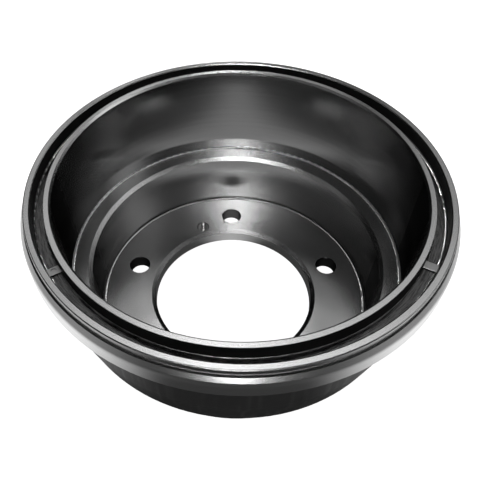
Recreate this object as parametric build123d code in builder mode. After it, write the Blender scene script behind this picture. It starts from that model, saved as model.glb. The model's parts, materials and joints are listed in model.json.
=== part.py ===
"""Brake drum for a light truck: one grey-iron casting, turned on its working faces.

The drum stands on its hub flange with its mouth upwards. The origin is the centre of
the flange's outer face, Z is the axle, and every size is in millimetres. The body is
one section turned about Z. The flange is then drilled, and two small pads are added to
the floor of the labyrinth groove.
"""
from build123d import *
import os
from math import radians, tan

# --- overall -----------------------------------------------------------------
overall_height = 166.5  # flange's outer face to the mouth

# --- friction track, the cylinder that the shoes press on --------------------
track_diameter = 300.0
track_depth = 94.0  # mouth to shoulder
track_lead_in = 1.6  # chamfer at the mouth
track_end_round = 2.0  # where the track meets the shoulder

# --- mouth: inner ring, labyrinth groove for the backing plate, outer lip ----
ring_wall = 5.6
ring_edge_break = 0.3
groove_width = 10.8  # at the mouth
groove_depth = 11.3
groove_inner_draft = 3.0  # degrees
groove_outer_draft = 5.5  # degrees
groove_floor_round = 1.2
lip_wall = 5.35
lip_inner_chamfer = 0.7
lip_outer_round = 1.0

# --- collar outside the lip: relief, bevel and turned band -------------------
lip_height = 5.3  # mouth to the relief
relief_height = 1.9
relief_depth = 1.2  # into the lip's outside
relief_step = 0.5  # relief's floor to the bevel's upper edge
bevel_step = 1.3  # bevel's upper edge, outside the lip
bevel_height = 5.5
band_step = 4.5  # band, outside the lip
band_height = 12.9
band_top_round = 8.0  # the bevel runs into the band as one soft curve
band_bottom_chamfer = 0.5

# --- cast wall behind the track ----------------------------------------------
body_wall = 10.7
body_draft = 0.9  # degrees, wider towards the mouth
collar_root_round = 4.0
taper_rise = 14.0  # shoulder up to where the wall starts to taper
taper_blend = 30.0
heel_wall = 3.0  # heel corner, outside the track
heel_drop = 19.0  # shoulder down to the heel corner
heel_round = 5.0

# --- shoulder and well between the track and the flange ----------------------
shoulder_width = 18.2
shoulder_bevel_width = 3.6
shoulder_bevel_height = 2.7
web_thickness = 24.0  # shoulder to the underside, beside the well
web_root_round = 6.0
well_draft = 1.7  # degrees, narrower towards the flange
well_corner_round = 3.0
well_wall = 10.7
well_outer_draft = 6.5  # degrees
base_bevel_height = 24.5
base_bevel_blend = 12.0
base_inset = 0.8  # flange's outer face ends this far inside the well's foot
base_edge_round = 1.5

# --- hub flange and its holes -------------------------------------------------
flange_thickness = 14.5
bore_diameter = 155.0
bore_lead_width = 4.1
bore_lead_angle = 30.0  # degrees from the flange face
bore_lower_chamfer = 1.0
bolt_count = 5
bolt_land = 24.1  # bore's edge out to the bolt circle, which is 203.2 across
bolt_hole_diameter = 20.5
bolt_hole_chamfer = 0.5
first_bolt_angle = 90.0
jack_hole_diameter = 12.0  # M12, for the screw that pushes the drum off the hub
jack_hole_chamfer = 0.7
jack_hole_land = 13.6  # bore's edge out to the jacking hole's centre
jack_hole_turn = 20.3  # degrees on from the first bolt hole

# --- pads on the groove floor -------------------------------------------------
pad_width = 7.6
pad_height = 1.5
pad_edge_round = 0.7
plain_pad_angle = 329.7
dimpled_pad_angle = 212.7
dimple_diameter = 4.4
dimple_depth = 0.6

# --- radii, from the axle outwards --------------------------------------------
bore_radius = bore_diameter / 2
bolt_circle_radius = bore_radius + bolt_land
jack_circle_radius = bore_radius + jack_hole_land
track_radius = track_diameter / 2
well_radius = track_radius - shoulder_width
ring_radius = track_radius + ring_wall
groove_radius = ring_radius + groove_width
lip_radius = groove_radius + lip_wall

# --- heights above the flange's outer face ------------------------------------
mouth = overall_height
groove_floor = mouth - groove_depth
relief_roof = mouth - lip_height
relief_floor = relief_roof - relief_height
bevel_top = relief_floor + relief_step
band_top = bevel_top - bevel_height
band_bottom = band_top - band_height
shoulder = mouth - track_depth
taper_top = shoulder + taper_rise
web_underside = shoulder - web_thickness
well_top = shoulder - shoulder_bevel_height
bore_lead_foot = flange_thickness - bore_lead_width * tan(radians(bore_lead_angle))


def drafted(radius, rise, angle):
    """Radius of a wall that starts at radius and leans outwards by angle over rise."""
    return radius + rise * tan(radians(angle))


groove_inner_foot = drafted(ring_radius, groove_depth, groove_inner_draft)
groove_outer_foot = drafted(groove_radius, -groove_depth, groove_outer_draft)
groove_floor_middle = (groove_inner_foot + groove_outer_foot) / 2
body_radius = track_radius + body_wall
body_top_radius = drafted(body_radius, band_bottom - taper_top, body_draft)
well_foot = drafted(well_radius, flange_thickness - well_top, well_draft)
well_outside = well_radius + well_wall
base_bevel_radius = drafted(well_outside, base_bevel_height - web_underside, well_outer_draft)

# --- corners of the section as (radius, height), anticlockwise from the bore ---
bore_edge = (bore_radius, 0)
base_edge = (well_foot - base_inset, 0)
base_bevel_edge = (base_bevel_radius, base_bevel_height)
web_root = (well_outside, web_underside)
heel_corner = (track_radius + heel_wall, shoulder - heel_drop)
taper_corner = (body_radius, taper_top)
collar_root = (body_top_radius, band_bottom)
band_lower_edge = (lip_radius + band_step, band_bottom)
band_upper_edge = (lip_radius + band_step, band_top)
bevel_edge = (lip_radius + bevel_step, bevel_top)
relief_inner_floor = (lip_radius - relief_depth, relief_floor)
relief_inner_roof = (lip_radius - relief_depth, relief_roof)
lip_foot = (lip_radius, relief_roof)
lip_outer_edge = (lip_radius, mouth)
lip_inner_edge = (groove_radius, mouth)
groove_outer_corner = (groove_outer_foot, groove_floor)
groove_inner_corner = (groove_inner_foot, groove_floor)
ring_outer_edge = (ring_radius, mouth)
track_mouth = (track_radius, mouth)
track_end = (track_radius, shoulder)
shoulder_edge = (well_radius + shoulder_bevel_width, shoulder)
well_edge = (well_radius, well_top)
well_corner = (well_foot, flange_thickness)
bore_lead_edge = (bore_radius + bore_lead_width, flange_thickness)
bore_lead_end = (bore_radius, bore_lead_foot)

section_rounds = (
    (base_edge, base_edge_round),
    (base_bevel_edge, base_bevel_blend),
    (web_root, web_root_round),
    (heel_corner, heel_round),
    (taper_corner, taper_blend),
    (collar_root, collar_root_round),
    (band_upper_edge, band_top_round),
    (lip_outer_edge, lip_outer_round),
    (groove_outer_corner, groove_floor_round),
    (groove_inner_corner, groove_floor_round),
    (track_end, track_end_round),
    (well_corner, well_corner_round),
)
section_chamfers = (
    (bore_edge, bore_lower_chamfer),
    (band_lower_edge, band_bottom_chamfer),
    (lip_inner_edge, lip_inner_chamfer),
    (ring_outer_edge, ring_edge_break),
    (track_mouth, track_lead_in),
)

with BuildPart() as brake_drum:
    # the turned casting
    with BuildSketch(Plane.XZ) as section:
        with BuildLine():
            Polyline(
                bore_edge, base_edge, base_bevel_edge, web_root, heel_corner,
                taper_corner, collar_root, band_lower_edge, band_upper_edge, bevel_edge,
                relief_inner_floor, relief_inner_roof, lip_foot, lip_outer_edge,
                lip_inner_edge, groove_outer_corner, groove_inner_corner,
                ring_outer_edge, track_mouth, track_end, shoulder_edge, well_edge,
                well_corner, bore_lead_edge, bore_lead_end, close=True,
            )
        make_face()
        for corner, size in section_rounds:
            fillet(section.vertices().sort_by_distance(corner)[0], size)
        for corner, size in section_chamfers:
            chamfer(section.vertices().sort_by_distance(corner)[0], size)
    revolve(axis=Axis.Z)

    # bolt holes, chamfered on both faces
    with Locations(Plane.XY.offset(flange_thickness)):
        with PolarLocations(bolt_circle_radius, bolt_count, start_angle=first_bolt_angle):
            Hole(bolt_hole_diameter / 2)
    chamfer(brake_drum.edges(Select.LAST).filter_by(GeomType.CIRCLE), bolt_hole_chamfer)

    # tapped hole for the jacking screw
    with Locations(Plane.XY.offset(flange_thickness)):
        with PolarLocations(jack_circle_radius, 1, start_angle=first_bolt_angle + jack_hole_turn):
            Hole(jack_hole_diameter / 2)
    chamfer(brake_drum.edges(Select.LAST).filter_by(GeomType.CIRCLE), jack_hole_chamfer)

    # pads that bridge the groove from wall to wall
    for pad_angle in (plain_pad_angle, dimpled_pad_angle):
        outward = Vector(1, 0, 0).rotate(Axis.Z, pad_angle)
        pad_start = outward * ring_radius + Vector(0, 0, groove_floor)
        pad_plane = Plane(pad_start, x_dir=outward.rotate(Axis.Z, 90), z_dir=outward)
        with BuildSketch(pad_plane) as pad_section:
            Rectangle(pad_width, pad_height, align=(Align.CENTER, Align.MIN))
            fillet(pad_section.vertices().group_by(Axis.Y)[-1], pad_edge_round)
        extrude(amount=groove_width)

    # shallow dimple in one pad
    with Locations(Plane.XY.offset(groove_floor + pad_height)):
        with PolarLocations(groove_floor_middle, 1, start_angle=dimpled_pad_angle):
            Hole(dimple_diameter / 2, depth=dimple_depth)

brake_drum.part.label = "brake_drum"
os.makedirs("parts", exist_ok=True)
export_step(brake_drum.part, "parts/brake_drum.step")
print("brake drum:", brake_drum.part.bounding_box().size, f"{brake_drum.part.volume:.0f} mm3")
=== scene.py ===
# %% [markdown]
# # A turned cast-iron brake drum
#
# A brake drum is one casting of grey iron. The foundry leaves a dark skin all over it, and a lathe
# then cuts that skin away where the drum has to be round and true: the friction track, the two
# rings at the mouth, the collar outside them, the shoulder, the well and the hub flange. So the
# look of the whole thing is the contrast of bare turned metal with dark casting.
#
# The solid itself is loaded as it was made in CAD and is never reshaped here. This notebook gives
# each of its zones the finish that the foundry or the lathe left there, cuts the thread of the
# jacking hole, and sets up the floor, the lamps and the camera.

# %% Load the frame
import json
from math import cos, pi, radians, sin

import bpy
import numpy as np
from mathutils import Matrix, Vector


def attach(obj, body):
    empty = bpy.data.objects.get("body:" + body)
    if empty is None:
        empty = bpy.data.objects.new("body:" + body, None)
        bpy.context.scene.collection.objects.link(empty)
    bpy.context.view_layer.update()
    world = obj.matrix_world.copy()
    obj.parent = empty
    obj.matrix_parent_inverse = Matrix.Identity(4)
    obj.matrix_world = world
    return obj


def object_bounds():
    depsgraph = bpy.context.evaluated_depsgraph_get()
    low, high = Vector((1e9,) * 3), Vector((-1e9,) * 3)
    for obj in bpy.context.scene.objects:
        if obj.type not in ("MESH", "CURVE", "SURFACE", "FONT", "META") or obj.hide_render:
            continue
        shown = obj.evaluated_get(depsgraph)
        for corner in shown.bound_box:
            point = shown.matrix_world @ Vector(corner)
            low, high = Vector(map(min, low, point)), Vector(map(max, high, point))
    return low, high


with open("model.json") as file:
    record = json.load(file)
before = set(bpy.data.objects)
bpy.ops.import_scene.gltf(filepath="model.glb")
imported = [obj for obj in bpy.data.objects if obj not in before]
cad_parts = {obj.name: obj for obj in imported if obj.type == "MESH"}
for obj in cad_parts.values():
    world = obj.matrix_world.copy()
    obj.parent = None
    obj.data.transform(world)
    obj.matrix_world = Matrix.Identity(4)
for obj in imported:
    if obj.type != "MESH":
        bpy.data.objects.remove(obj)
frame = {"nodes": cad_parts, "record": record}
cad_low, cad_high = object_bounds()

drum = frame["nodes"]["brake_drum"]
print("drum:", len(drum.data.polygons), "triangles, from", cad_low[:], "to", cad_high[:])

# %% [markdown]
# ## The section's landmarks
#
# A turned part is fully told by its section, a curve of radius against height. Each finish starts
# and ends at a corner of that curve, so the corners are collected here once, in metres. The sizes
# that mate with other parts come from the mounts in the part's record.

# %% Mating sizes
mounts = {mount["name"]: mount for mount in frame["record"]["mounts"]}


def mount_radius(name):
    """Radius of a round mount, in metres."""
    return mounts[name]["dims"]["r_mm"] / 1000


track_radius = mount_radius("friction_track")
bore_radius = mount_radius("centre_bore")
jack_hole_radius = mount_radius("jacking_hole")
jack_hole_x, jack_hole_y = mounts["jacking_hole"]["pos_m"][:2]
flange_top = mounts["hub_seat"]["pos_m"][2]
mouth = cad_high.z
print("track", track_radius, "bore", bore_radius, "flange", flange_top, "mouth", mouth)

# %% [markdown]
# The other corners are one step from a corner that is known: a wall's thickness out from the
# track, or a depth down from the mouth.

# %% Steps from corner to corner
ring_wall = 0.0056
groove_width = 0.0108
lip_wall = 0.00535
shoulder_width = 0.0182
bore_lead_width = 0.0041
groove_depth = 0.0113
bevel_depth = 0.0117
band_depth = 0.0251
track_depth = 0.094
shoulder_bevel_drop = 0.0027

ring_radius = track_radius + ring_wall
groove_radius = ring_radius + groove_width
lip_radius = groove_radius + lip_wall
well_radius = track_radius - shoulder_width
lead_radius = bore_radius + bore_lead_width
groove_floor = mouth - groove_depth
band_top = mouth - bevel_depth
band_bottom = mouth - band_depth
shoulder = mouth - track_depth
well_top = shoulder - shoulder_bevel_drop
print("ring", ring_radius, "groove", groove_radius, "lip", lip_radius, "well", well_radius)

# %% [markdown]
# ## Shader maths as plain Python
#
# A procedural finish is arithmetic on the point being shaded. In Blender that arithmetic is made
# of Math nodes, which are slow to wire by hand and hard to read back. Wrapping a socket in a small
# class that overloads `+`, `-`, `*` and `/` lets a finish be written as an expression, and the
# expression adds its own nodes.

# %% A socket with operators
class Signal:
    """A number that varies over the surface. Arithmetic on it adds Math nodes to its tree."""

    def __init__(self, surface, socket):
        self.surface = surface
        self.socket = socket

    def math(self, operation, *others):
        """A Math node on this signal and the others, as a new signal."""
        node = self.surface.nodes.new("ShaderNodeMath")
        node.operation = operation
        for slot, value in zip(node.inputs, (self, *others)):
            self.surface.feed(slot, value)
        return Signal(self.surface, node.outputs[0])

    def __add__(self, other):
        return self.math("ADD", other)

    def __radd__(self, other):
        return self + other

    def __sub__(self, other):
        return self.math("SUBTRACT", other)

    def __rsub__(self, other):
        return -self + other

    def __mul__(self, other):
        return self.math("MULTIPLY", other)

    def __rmul__(self, other):
        return self * other

    def __truediv__(self, other):
        return self.math("DIVIDE", other)

    def __neg__(self):
        return self * -1.0

    def __abs__(self):
        return self.math("ABSOLUTE")

    def sqrt(self):
        return self.math("SQRT")

    def larger(self, other):
        return self.math("MAXIMUM", other)


# %% [markdown]
# A `Surface` is one material. It starts with the two things every finish here needs: the point in
# the part's own frame, and the radius from the axle. Object coordinates stay with the part in any
# view, so the pattern never slides.

# %% A material under construction
class Surface:
    """A material with a Principled shader, and helpers that add nodes to it."""

    def __init__(self, name, **constants):
        self.material = bpy.data.materials.new(name)
        self.material.use_nodes = True
        self.nodes = self.material.node_tree.nodes
        self.links = self.material.node_tree.links
        self.shader = self.nodes["Principled BSDF"]
        self.set(**constants)
        self.point = self.node("ShaderNodeTexCoord").outputs["Object"]
        split = self.node("ShaderNodeSeparateXYZ", Vector=self.point)
        self.x, self.y, self.z = (Signal(self, split.outputs[axis]) for axis in "XYZ")
        self.radius = (self.x * self.x + self.y * self.y).sqrt()

    def feed(self, slot, value):
        """Links a signal or a socket to a slot, or sets the slot to a plain value."""
        if isinstance(value, Signal):
            value = value.socket
        if isinstance(value, bpy.types.NodeSocket):
            self.links.new(value, slot)
        else:
            slot.default_value = value

    def set(self, **sockets):
        """Feeds the shader's own sockets by name."""
        for name, value in sockets.items():
            self.feed(self.shader.inputs[name.replace("_", " ")], value)

    def node(self, kind, settings=None, **inputs):
        """Adds any node: its settings first, then the values or links of its sockets."""
        node = self.nodes.new(kind)
        for name, value in (settings or {}).items():
            setattr(node, name, value)
        for name, value in inputs.items():
            self.feed(node.inputs[name.replace("_", " ")], value)
        return node

    def vector(self, x, y, z):
        """A vector socket from three signals or numbers."""
        return self.node("ShaderNodeCombineXYZ", X=x, Y=y, Z=z).outputs[0]

    def noise(self, vector, scale=1.0, detail=2.0):
        """Smooth noise from 0 to 1, about 0.5 in the middle."""
        node = self.node("ShaderNodeTexNoise", Vector=vector, Scale=scale, Detail=detail)
        return Signal(self, node.outputs["Fac"])

    def ramp(self, signal, low, high, start=0.0, end=1.0):
        """Goes smoothly from start to end as the signal goes from low to high."""
        node = self.node("ShaderNodeMapRange", {"interpolation_type": "SMOOTHSTEP"}, Value=signal)
        for slot, value in zip(node.inputs[1:5], (low, high, start, end)):
            slot.default_value = value
        return Signal(self, node.outputs["Result"])

    def grey(self, value):
        """A neutral colour of that brightness."""
        return self.node("ShaderNodeCombineColor", Red=value, Green=value, Blue=value).outputs[0]

    def bump(self, height, distance):
        """Feeds the shader's normal with a height, where 1 stands that many metres proud."""
        node = self.node("ShaderNodeBump", Height=height, Distance=distance)
        self.set(Normal=node.outputs["Normal"])


# %% [markdown]
# ## Turned iron
#
# A lathe tool leaves a fine spiral of grooves round the axle. Too fine to see one by one, together
# they spread every reflection across the grooves, which gives the bright fan that a turned face
# shows. The Principled shader does this with its Anisotropic value: its default tangent runs round
# the object's Z axis, and Z is the axle here, so the tangent needs no node.
#
# What is left to add is the uneven part. Rings come and go across the cut, where the feed or the
# tool's edge changed, and long faint arcs lie along it. Noise read at a stretched point does both:
# the radius and the height are divided by the rings' spacing, and the place round the axle enters
# only as the slow point (x/r, y/r) on the unit circle, so each mark is a long arc with no seam.

# %% The marks of the cut
cutting_slope = 1.37  # height counts with the radius, so walls and faces both show rings


def cut_marks(surface, spacing, arc):
    """Noise that changes every `spacing` metres across the cut, and `arc` times a radian along."""
    across = (surface.radius + surface.z * cutting_slope) / spacing
    return surface.noise(surface.vector(
        across, surface.x / surface.radius * arc, surface.y / surface.radius * arc), detail=1.0)


# %% [markdown]
# Three sets of marks are laid over each other: the fine cut, the rings, and broad patches where
# the whole cut came out duller. Each shifts the shade of the iron and its roughness together,
# because a rougher cut is also paler. The sets are centred on zero, so that stronger marks don't
# change the mean.

# %% Turned finish
fine_spacing = 0.0009
fine_arc = 0.7
fine_shade = 0.12
fine_haze = 0.05
ring_spacing = 0.0055
ring_arc = 0.35
ring_shade = 0.14
ring_haze = 0.07
patch_spacing = ring_spacing * 4
patch_arc = 2.5
patch_shade = 0.16
patch_haze = 0.10
cut_relief = 0.000004
noise_middle = 0.5


def turned_iron(name, brightness, roughness=0.24, spread=0.9, marks=0.5, edge=1.0, metal=1.0):
    """Bare iron as a lathe leaves it.

    Spread is how much further a reflection is drawn across the cut than along it. Marks is how
    uneven the cut looks, from 0 to 1. Edge is how bright the iron mirrors at a glancing angle, and
    less metal leaves some dull grey under the shine. Brightness may be a function that makes a
    signal on the new surface.
    """
    surface = Surface(name, Metallic=metal, Anisotropic=spread, Specular_Tint=(edge, edge, edge, 1.0))
    if callable(brightness):
        brightness = brightness(surface)
    fine = cut_marks(surface, fine_spacing, fine_arc) - noise_middle
    rings = cut_marks(surface, ring_spacing, ring_arc) - noise_middle
    patches = cut_marks(surface, patch_spacing, patch_arc) - noise_middle
    shade = fine * fine_shade + rings * ring_shade + patches * patch_shade
    haze = fine * fine_haze + rings * ring_haze + patches * patch_haze
    surface.set(Base_Color=surface.grey(shade * marks + brightness),
                Roughness=haze * marks + roughness)
    surface.bump(fine, cut_relief * marks)
    return surface.material


# %% [markdown]
# ## Dark iron
#
# Where the lathe never reached, or where the shop's black dip was left on, the iron is nearly
# black. The outside of the wall keeps the print of the sand mould under its black coat. It has
# a grain of about a millimetre, blotches of a few centimetres, and faint runs straight down where
# the coat sagged before it dried. Runs are noise that changes round the axle and hardly with
# height. The grain is bump, which is enough for something so small.

# %% Black coat
sand_grain = 0.0011
grain_shade = 0.006
grain_haze = 0.1
blotches_per_metre = 28.0
blotch_shade = 0.014
blotch_haze = 0.25
blotch_height = 1.5
run_width = 0.006
run_length = 0.09
run_low = 0.45
run_high = 0.75
run_shade = 0.012
run_gloss = 0.08
run_height = 0.6
coat_relief = 0.00012
coat_mirror = 0.3


def coated_casting(name, brightness=0.022, roughness=0.42, runs=1.0):
    """Foundry skin under a black coat, with the coat's runs. Heights are in grains."""
    surface = Surface(name, Specular_IOR_Level=coat_mirror)
    grain = surface.noise(surface.point, 1 / sand_grain)
    blotches = surface.noise(surface.point, blotches_per_metre)
    stretched = surface.vector(surface.x / run_width, surface.y / run_width, surface.z / run_length)
    sag = surface.ramp(surface.noise(stretched, detail=1.0), run_low, run_high) * runs
    shade = sag * run_shade + blotches * blotch_shade + grain * grain_shade
    haze = (blotches - noise_middle) * blotch_haze + (grain - noise_middle) * grain_haze - sag * run_gloss
    surface.set(Base_Color=surface.grey(shade + brightness), Roughness=haze + roughness)
    surface.bump(grain + blotches * blotch_height + sag * run_height, coat_relief)
    return surface.material


# %% [markdown]
# The floor of the groove at the mouth is bare too, but a wide form tool was pushed straight down
# into it. Such a tool tears more than it cuts, so the floor is dark, with many short marks and a
# few pits. Its marks are the lathe's again, only shorter.

# %% Torn iron
torn_brightness = 0.12
torn_roughness = 0.28
torn_spread = 0.9
torn_arc = 14.0
torn_shade = 0.22
torn_haze = 0.2
pits_per_metre = 900.0
pit_low = 0.62
pit_high = 0.72
pit_shade = 0.08
pit_haze = 0.2
torn_relief = 0.00005


def torn_iron(name):
    """Bare iron that a form tool tore rather than cut: dull, dark and pitted."""
    surface = Surface(name, Metallic=1.0, Anisotropic=torn_spread)
    torn = cut_marks(surface, fine_spacing, torn_arc)
    pits = surface.ramp(surface.noise(surface.point, pits_per_metre), pit_low, pit_high)
    shade = (torn - noise_middle) * torn_shade - pits * pit_shade
    haze = (torn - noise_middle) * torn_haze + pits * pit_haze
    surface.set(Base_Color=surface.grey(shade + torn_brightness), Roughness=haze + torn_roughness)
    surface.bump(torn - pits, torn_relief)
    return surface.material


# %% [markdown]
# ## Which finish goes where
#
# The drum's triangles can be sorted by simple tests: the radius and height of a triangle's middle,
# how far up it faces, and how far it faces away from the axle. A zone is a mask made of such
# tests. The zones are given out from the most particular to the most general, and a triangle
# keeps the first finish that it gets, so a later mask may be broad.

# %% What is known of each triangle
def polygon_vectors(mesh, name):
    """One vector of each polygon, as rows of an array."""
    numbers = np.zeros(len(mesh.polygons) * 3)
    mesh.polygons.foreach_get(name, numbers)
    return numbers.reshape(-1, 3)


middle = polygon_vectors(drum.data, "center")
normal = polygon_vectors(drum.data, "normal")
radius = np.hypot(middle[:, 0], middle[:, 1])
height = middle[:, 2]
upward = normal[:, 2]
outward = (middle[:, :2] * normal[:, :2]).sum(axis=1) / radius
flat = upward > 0.9
level = upward > 0.7
sloping = upward > 0.3
print("triangles that face up:", level.sum(), "inwards:", (outward < 0).sum())

# %% [markdown]
# A hair of 0.2 mm is allowed at a zone's edges, because a triangle on a fillet has its middle a
# little off the corner that the zone ends at.

# %% Giving out finishes
hair = 0.0002
finish_slot = np.zeros(len(height), dtype=np.int32)
drum.data.materials.clear()
drum.data.materials.append(coated_casting("black_casting"))


def between(values, low, high):
    """True where the values lie from low to high, give or take a hair."""
    return (values > low - hair) & (values < high + hair)


def give(finish, mask):
    """Gives a finish to the triangles under the mask that still have the casting's."""
    free = mask & (finish_slot == 0)
    finish_slot[free] = len(drum.data.materials)
    drum.data.materials.append(finish)
    print(finish.name, free.sum(), "triangles")


# %% [markdown]
# ### Groove
#
# The groove at the mouth takes the turned-over rim of the backing plate, and keeps water out. Its
# walls keep the black coat, set darker than the coat outside as painted shade deep in the groove.
# The floor is torn bare. The round at the outer wall's foot has a base colour far brighter than
# the floor's, a painted highlight that draws a thin bright line there. The two pads across the
# floor are faced flat, so they have little grain.

# %% Groove
pad_rise = 0.0016
corner_width = 0.0024
corner_rise = 0.0011
almost_level = 0.995

in_groove = ((radius > ring_radius + hair / 2) & (radius < groove_radius - hair / 2)
             & (height > groove_floor - hair) & (height < mouth - hair * 3))
give(turned_iron("pad_face", brightness=0.5, roughness=0.35, spread=0.3),
     in_groove & between(height, groove_floor + hair * 2, groove_floor + pad_rise)
     & between(radius, ring_radius + hair * 2, groove_radius - hair * 2) & level)
# Painted highlight: the round at the outer wall's foot gets a base colour of 0.9, so it draws a bright
# line.
give(turned_iron("groove_foot", brightness=0.9, roughness=0.3),
     in_groove & (radius > groove_radius - corner_width)
     & between(height, groove_floor + hair / 2, groove_floor + corner_rise)
     & (upward < almost_level))
give(torn_iron("groove_floor"),
     in_groove & (height < groove_floor + corner_rise - hair) & level)
# Painted shade: the walls' coat is set darker than the coat outside, for the shade deep in the groove.
give(coated_casting("groove_wall", brightness=-0.004, roughness=0.55, runs=0.0), in_groove)

# %% [markdown]
# ### Holes and bore
#
# Drilled holes are bare but rough, and look into the dark under the flange. Their base colour is
# set near black, painted shade for the dark inside them. The bore centres the drum on its hub. It
# is cut with a fine feed, so its wall has no fan of light, and the lead at its upper edge is turned
# like a face.

# %% Holes and bore
rim_width = 0.0043
flange_rim = well_radius - rim_width  # inside the rounds at the flange's edge

# Painted shade: the drilled walls' base colour of 0.065 stands for the dark inside the holes.
give(turned_iron("drilled_hole", brightness=0.065, roughness=0.3, marks=0.1, edge=0.3),
     between(radius, lead_radius + hair * 2, flange_rim)
     & (height > hair) & (height < flange_top + hair) & ~flat)

in_bore = (radius < lead_radius) & (height < flange_top)
give(turned_iron("bore_lead", brightness=0.4), in_bore & sloping)
give(turned_iron("bore_wall", brightness=0.40, roughness=0.4, spread=0.0),
     in_bore & (outward < 0.2))

# %% [markdown]
# ### Hub face, well and shoulder
#
# The level faces shine brightest. A little less than full metal gives them the dull grey of the
# graphite in the iron. The well's wall stands between them and mirrors the hub face. At a glancing
# angle the walls of its fine grooves hide each other and it goes dark, which an edge of 0 stands
# for. The round at the track's foot catches the light from every side. Its base colour is set as
# bright as the shoulder's, far above the track's, a painted highlight that makes the thin bright
# line.

# %% Hub face, well and shoulder
shoulder_zone = between(radius, well_radius, track_radius)
foot_round = 0.002

give(turned_iron("hub_face", brightness=0.88, metal=0.96, marks=0.3),
     (radius < well_radius - foot_round) & between(height, flange_top, flange_top + hair) & level)
give(turned_iron("well_wall", brightness=0.28, roughness=0.25, marks=0.3, edge=0.0),
     (radius < well_radius + hair * 2) & (height > flange_top) & (height < well_top)
     & (outward < 0.0))
# Painted highlight: the round's base colour of 0.95, against the track's 0.22, draws the thin line.
give(turned_iron("track_foot", brightness=0.95, roughness=0.3),
     between(radius, track_radius - foot_round + hair, track_radius - hair * 2)
     & between(height, shoulder + hair * 2, shoulder + foot_round - hair) & (outward < 0.0))
give(turned_iron("shoulder_bevel", brightness=0.95),
     shoulder_zone & between(height, well_top, shoulder - hair * 2) & sloping)
give(turned_iron("shoulder_face", brightness=0.90, metal=0.95, marks=0.3),
     shoulder_zone & between(height, well_top, shoulder + foot_round + hair / 2))

# %% [markdown]
# ### Friction track
#
# The shoes press here, so the track is cut finest of all and mirrors most clearly. What it shows
# is the shoulder below it and, further up, the ground under the bore. Its edge of 0 blacks out its
# mirror at a glancing angle, painted shade that keeps the sides of the track dark.

# %% Friction track
track_lead_in = 0.0016
# Painted shade: an edge of 0 darkens the track's mirror at a glancing angle.
give(turned_iron("friction_track", brightness=0.22, roughness=0.18, marks=0.3, edge=0.0),
     between(radius, track_radius, track_radius)
     & (height > shoulder) & (height < mouth - track_lead_in))

# %% [markdown]
# ### Rings, collar and seat
#
# The two rings at the mouth are faced in one cut. Outside them the collar's bevel runs into its
# band as one soft curve. Two finishes would meet there in a step, so the collar has one, with a
# brightness that is a function of height. The level face underneath, which the wheel presses on,
# is turned too.

# %% Rings, collar and seat
lip_round = 0.001
relief_inset = 0.00175
curve_below = 0.002
curve_above = 0.001
bevel_brightness = 0.5
band_brightness = 0.8


def collar_brightness(surface):
    """The band is cut brighter than the bevel above it, with no step between the two."""
    return surface.ramp(surface.z, band_top - curve_below, band_top + curve_above,
                        band_brightness, bevel_brightness)


give(turned_iron("ring_faces", brightness=0.76, roughness=0.22, marks=0.2),
     (radius > track_radius - hair) & (radius < lip_radius - lip_round)
     & (height > mouth - track_lead_in - hair))
give(turned_iron("collar", brightness=collar_brightness, roughness=0.23, marks=0.15),
     (radius > lip_radius - relief_inset) & (height > band_bottom - hair))
give(turned_iron("wheel_seat", brightness=0.5), (upward < -0.9) & (height < hair))

drum.data.polygons.foreach_set("material_index", finish_slot)
print("casting", (finish_slot == 0).sum(), "triangles")

# %% [markdown]
# ## The jacking hole's thread
#
# A screw in this hole pushes a stuck drum off its hub. An internal thread is a ridge that winds up
# the hole's wall. It could be a profile swept along a helix, but as a surface on the grid (turn,
# height) its radius is one short formula, with no joints to close. The phase is the height in
# pitches less the turn, and the ridge is a triangle wave of that phase with its tips and its
# valleys cut flat. The radius is the hole's, less the ridge. Both mouths of the hole are
# chamfered, so the ridge is also held outside a cone at each end. A second, plain wall just inside
# the iron closes the shell.

# %% Shape of the thread
pitch = 0.00175
ridge_height = 0.00092
ridge_slope = 1.25
valley_cut = 0.15
tip_cut = 0.85
mouth_chamfer = 0.0007
thread_low = mouth_chamfer
thread_high = flange_top - mouth_chamfer


def thread_radius(turn, climb):
    """Hole radius less the ridge.

    The wave goes from 0 to 1 and back over a turn. Scaled by the slope and lowered by the valley's
    cut, it is clipped at 0 and at the tip's cut, and scaled again so that the tip stands one ridge
    height proud. Near an end the ridge is no higher than the distance from that end.
    """
    phase = (climb / pitch - turn / (2 * pi)) % 1.0
    wave = 1 - abs(2 * phase - 1)
    ridge = np.clip(wave * ridge_slope - valley_cut, 0.0, tip_cut) / tip_cut
    from_end = np.minimum(climb - thread_low, thread_high - climb)
    return jack_hole_radius - np.minimum(ridge * ridge_height, from_end)


# %% [markdown]
# The thread's grid wraps in both directions, like a ring doughnut: once round the hole, and up the
# ridged wall and back down the plain one. Rolling the grid of point numbers by one gives each
# face its four corners, so there is no seam to close.

# %% A closed shell from a grid
def wrapped_grid(name, x, y, z):
    """A closed mesh from rows of points that wrap in both directions, facing out of the shell."""
    index = np.arange(x.size).reshape(x.shape)
    right = np.roll(index, -1, axis=1)
    up = np.roll(index, -1, axis=0)
    quads = np.stack((index, up, np.roll(up, -1, axis=1), right), axis=-1).reshape(-1, 4)
    mesh = bpy.data.meshes.new(name)
    mesh.from_pydata(np.stack((x, y, z), axis=-1).reshape(-1, 3).tolist(), [], quads.tolist())
    mesh.polygons.foreach_set("use_smooth", np.ones(len(quads), dtype=bool))
    piece = bpy.data.objects.new(name, mesh)
    bpy.context.scene.collection.objects.link(piece)
    return piece


# %% Cut the thread
turn_steps = 72
rows_per_pitch = 12
thread_backing = 0.00003

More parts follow.
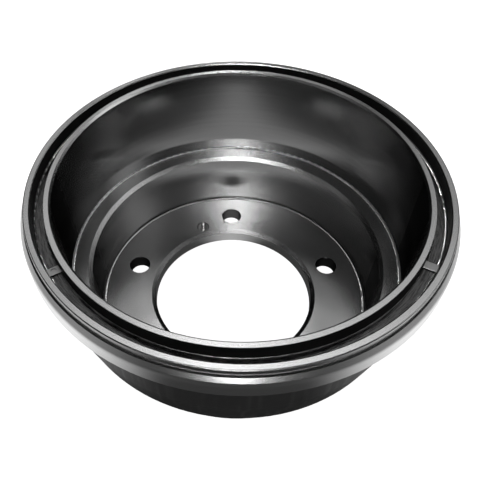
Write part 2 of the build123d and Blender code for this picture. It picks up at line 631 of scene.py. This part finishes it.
row_count = int((thread_high - thread_low) / pitch * rows_per_pitch)
turn, climb = np.meshgrid(np.arange(turn_steps) * 2 * pi / turn_steps,
                          np.linspace(thread_low, thread_high, row_count))
ridged_wall = thread_radius(turn, climb)
plain_wall = np.full_like(ridged_wall[:2], jack_hole_radius + thread_backing)
shell_radius = np.vstack((ridged_wall, plain_wall))
shell_climb = np.vstack((climb, climb[-1:], climb[:1]))
shell_turn = np.vstack((turn, turn[:2]))
thread = wrapped_grid("jacking_thread", jack_hole_x + shell_radius * np.cos(shell_turn),
                      jack_hole_y + shell_radius * np.sin(shell_turn), shell_climb)
thread.data.materials.append(turned_iron("tapped_thread", brightness=0.55, roughness=0.2,
                                         marks=0.1, edge=0.3))
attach(thread, "root")
print("thread:", len(thread.data.polygons), "faces,", row_count, "rows")

# %% [markdown]
# ## Floor
#
# A sheet of white paper, a hair below the drum. The camera should see it evenly white, as it comes
# out when a studio lights the paper apart from the object. A little emission does that, and only
# for camera rays, so it puts no light on the drum. The drum's shadow is still there underneath.

# %% Sheet of paper
floor_half = 3.0
paper_drop = 0.0002

floor_mesh = bpy.data.meshes.new("floor")
floor_corners = [(x * floor_half, y * floor_half, -paper_drop)
                 for x, y in ((-1, -1), (1, -1), (1, 1), (-1, 1))]
floor_mesh.from_pydata(floor_corners, [], [(0, 1, 2, 3)])
floor = bpy.data.objects.new("floor", floor_mesh)
bpy.context.scene.collection.objects.link(floor)
print("floor:", floor_half * 2, "m square")

# %% [markdown]
# Bare metal is a mirror, so what matters most is what it finds to reflect. A studio dresses the
# table for that, and here it is done for glossy and transmission rays alone. White cards left and
# right of the drum light the sides of the collar, and paler ones carry on further out. Black
# paper in front and behind keeps the collar's middle dark. A white strip under the drum shows
# through the bore and draws the soft streak up the far wall.

# %% What the metal sees of the floor
side_start = 0.40
side_full = 0.95
card_inner = 0.15
card_inner_full = card_inner * 1.3
card_reach = 0.75
card_reach_full = card_reach * 0.55
card_glow = 1.0
far_side_start = 0.5
far_start = 0.5
far_full = 0.9
far_glow = 0.45
under_edge = 0.12
under_edge_full = 0.115
bore_glow = 0.06
strip_half = bore_radius * 0.45
strip_glow = 0.94

paper = Surface("white_paper", Roughness=0.9, Emission_Strength=1.0)
sideways = abs(paper.x) / paper.radius  # 0 in front of the drum and behind it, 1 at its sides
near_ring = (paper.ramp(paper.radius, card_inner, card_inner_full)
             * paper.ramp(paper.radius, card_reach, card_reach_full))
cards = paper.ramp(sideways, side_start, side_full) * near_ring * card_glow
far_cards = (paper.ramp(paper.radius, far_start, far_full)
             * paper.ramp(sideways, far_side_start, side_full) * far_glow)
strip = paper.ramp(abs(paper.x), strip_half, 0.0) * strip_glow + bore_glow
glow = cards + far_cards + paper.ramp(paper.radius, under_edge, under_edge_full) * strip

# %% [markdown]
# Whatever a reflected ray finds that isn't a card is black paper, so for those rays the sheet's
# own colour goes down to that of black card.

# %% Paper
paper_colour = 0.8
paper_white = 0.9
black_card = 0.12

rays = paper.node("ShaderNodeLightPath").outputs
seen = Signal(paper, rays["Is Camera Ray"])
mirrored = Signal(paper, rays["Is Glossy Ray"]).larger(Signal(paper, rays["Is Transmission Ray"]))
darkened = 1.0 - mirrored * (1.0 - black_card)
paper.set(Base_Color=paper.grey(darkened * paper_colour),
          Emission_Color=paper.grey(seen * paper_white + mirrored * glow))
floor_mesh.materials.append(paper.material)
print("paper:", len(paper.nodes), "nodes")

# %% [markdown]
# ## World
#
# A very dim even fill, so that nothing is quite black, and white wherever the camera looks past
# the paper's edge. The white is for camera rays alone, so it puts no light on the drum.

# %% World
fill_strength = 0.03

world = bpy.data.worlds.new("studio")
bpy.context.scene.world = world
world.use_nodes = True
nodes = world.node_tree.nodes
fill = nodes["Background"]
fill.inputs["Strength"].default_value = fill_strength
white_sky = nodes.new("ShaderNodeBackground")
white_sky.inputs["Color"].default_value = (1.0, 1.0, 1.0, 1.0)
sky_rays = nodes.new("ShaderNodeLightPath")
sky = nodes.new("ShaderNodeMixShader")
for source, target in ((sky_rays.outputs["Is Camera Ray"], sky.inputs[0]),
                       (fill.outputs[0], sky.inputs[1]),
                       (white_sky.outputs[0], sky.inputs[2]),
                       (sky.outputs[0], nodes["World Output"].inputs[0])):
    world.node_tree.links.new(source, target)
print("world:", len(nodes), "nodes")

# %% [markdown]
# ## Lamps
#
# Turned metal is lit by shaping what it mirrors. All lamps are softboxes on one sphere round the
# mouth. A softbox could be a glowing mesh, but an area lamp gives the same rectangle in a
# reflection with less grain.

# %% A softbox
lamp_distance = 1.6


def softbox(name, azimuth, elevation, width, length, brightness):
    """A rectangle of even brightness that faces the mouth from lamp_distance.

    Azimuth 0 is in front, on -Y, and 90 is on +X. Width and length are the angles in degrees that
    the box covers, level and upright. Brightness 1 mirrors as white, so the power is that
    brightness times pi times the area.
    """
    a, e = radians(azimuth), radians(elevation)
    outwards = Vector((sin(a) * cos(e), -cos(a) * cos(e), sin(e)))
    across = Vector((cos(a), sin(a), 0.0))
    lamp = bpy.data.lights.new(name, "AREA")
    lamp.shape = "RECTANGLE"
    lamp.size = radians(width) * lamp_distance
    lamp.size_y = radians(length) * lamp_distance
    lamp.energy = brightness * pi * lamp.size * lamp.size_y
    holder = bpy.data.objects.new(name, lamp)
    holder.location = outwards * lamp_distance + Vector((0.0, 0.0, mouth))
    holder.rotation_mode = "QUATERNION"
    turned = Matrix((across, outwards.cross(across), outwards)).transposed()
    holder.rotation_quaternion = turned.to_quaternion()
    bpy.context.scene.collection.objects.link(holder)


# %% [markdown]
# Narrow, bright boxes stand in a row in line with the camera: one at the height of the mouth in
# front, the others from halfway up in front, over the top, to halfway down behind. Together they
# draw the bright streak down the middle of the drum.

# %% Row of narrow boxes
softbox("low_front", 0, 2.5, 10, 10, 12.0)
softbox("front_strip", -3, 46, 7, 12, 24.0)
softbox("front_high_strip", -12, 70, 4, 12, 14.0)
softbox("top_strip", 0, 82, 4, 12, 8.5)
softbox("back_high", 180, 70, 5, 18, 3.5)
softbox("back_middle", 180, 54, 4, 10, 14.0)
softbox("back_strip", 180, 38, 5, 12, 26.0)
print("lamps:", len(bpy.data.lights))

# %% [markdown]
# Wide, weaker boxes at the back and the sides give the rings and the flange their even grey. The
# front left and front right stay empty. Together with the track's painted shade at a glancing
# angle, this keeps the sides of the track dark.

# %% Wide boxes
softbox("left_panel", 270, 14, 29, 24, 0.6)
softbox("right_panel", 90, 34, 22, 28, 1.4)
softbox("back_strip_left", 195, 37, 6, 12, 1.4)
softbox("back_strip_right", 165, 37, 6, 12, 0.8)
softbox("back_high_wide", 180, 68, 22, 24, 0.45)
softbox("back_right", 128, 62, 24, 22, 0.7)
softbox("back_right_low", 135, 38, 34, 22, 0.28)
softbox("back_left", 220, 62, 14, 22, 0.6)
softbox("back_left_low", 208, 38, 12, 22, 0.5)
print("lamps:", len(bpy.data.lights))

# %% [markdown]
# ## Camera
#
# The camera stands in front and above, close to the drum, so its perspective is strong. The lens
# is shifted sideways, which frames the drum as a crop from one side of a wider view would. The
# three small turns aim the camera away from the centre of the mouth.

# %% Camera
frame_pixels = 480
sensor = 36.0
focal_pixels = 578.9
centre_column = 195.75
eye_distance = 0.472
eye_azimuth = -2.45
eye_elevation = 43.22
eye_yaw = 3.854
eye_pitch = 6.120
eye_roll = 1.593

camera_data = bpy.data.cameras.new("camera")
camera_data.sensor_width = sensor
camera_data.lens = focal_pixels / frame_pixels * sensor
camera_data.shift_x = 0.5 - centre_column / frame_pixels
camera = bpy.data.objects.new("camera", camera_data)
bpy.context.scene.collection.objects.link(camera)
bpy.context.scene.camera = camera
tilt, swing = radians(eye_elevation), radians(eye_azimuth)
level_view = Matrix(((1, 0, 0), (0, -sin(tilt), -cos(tilt)), (0, cos(tilt), -sin(tilt))))
aim = (Matrix.Rotation(radians(eye_roll), 3, "Z") @ Matrix.Rotation(radians(eye_pitch), 3, "X")
       @ Matrix.Rotation(radians(eye_yaw), 3, "Y") @ level_view @ Matrix.Rotation(-swing, 3, "Z"))
right, down, ahead = aim
camera.rotation_mode = "QUATERNION"
camera.rotation_quaternion = Matrix((right, -down, -ahead)).transposed().to_quaternion()
eye = Vector((0, -cos(tilt), sin(tilt))) * eye_distance
camera.location = Matrix.Rotation(swing, 3, "Z") @ eye + Vector((0, 0, mouth))
bpy.context.scene.view_settings.view_transform = "Standard"
print("camera at", camera.location[:])
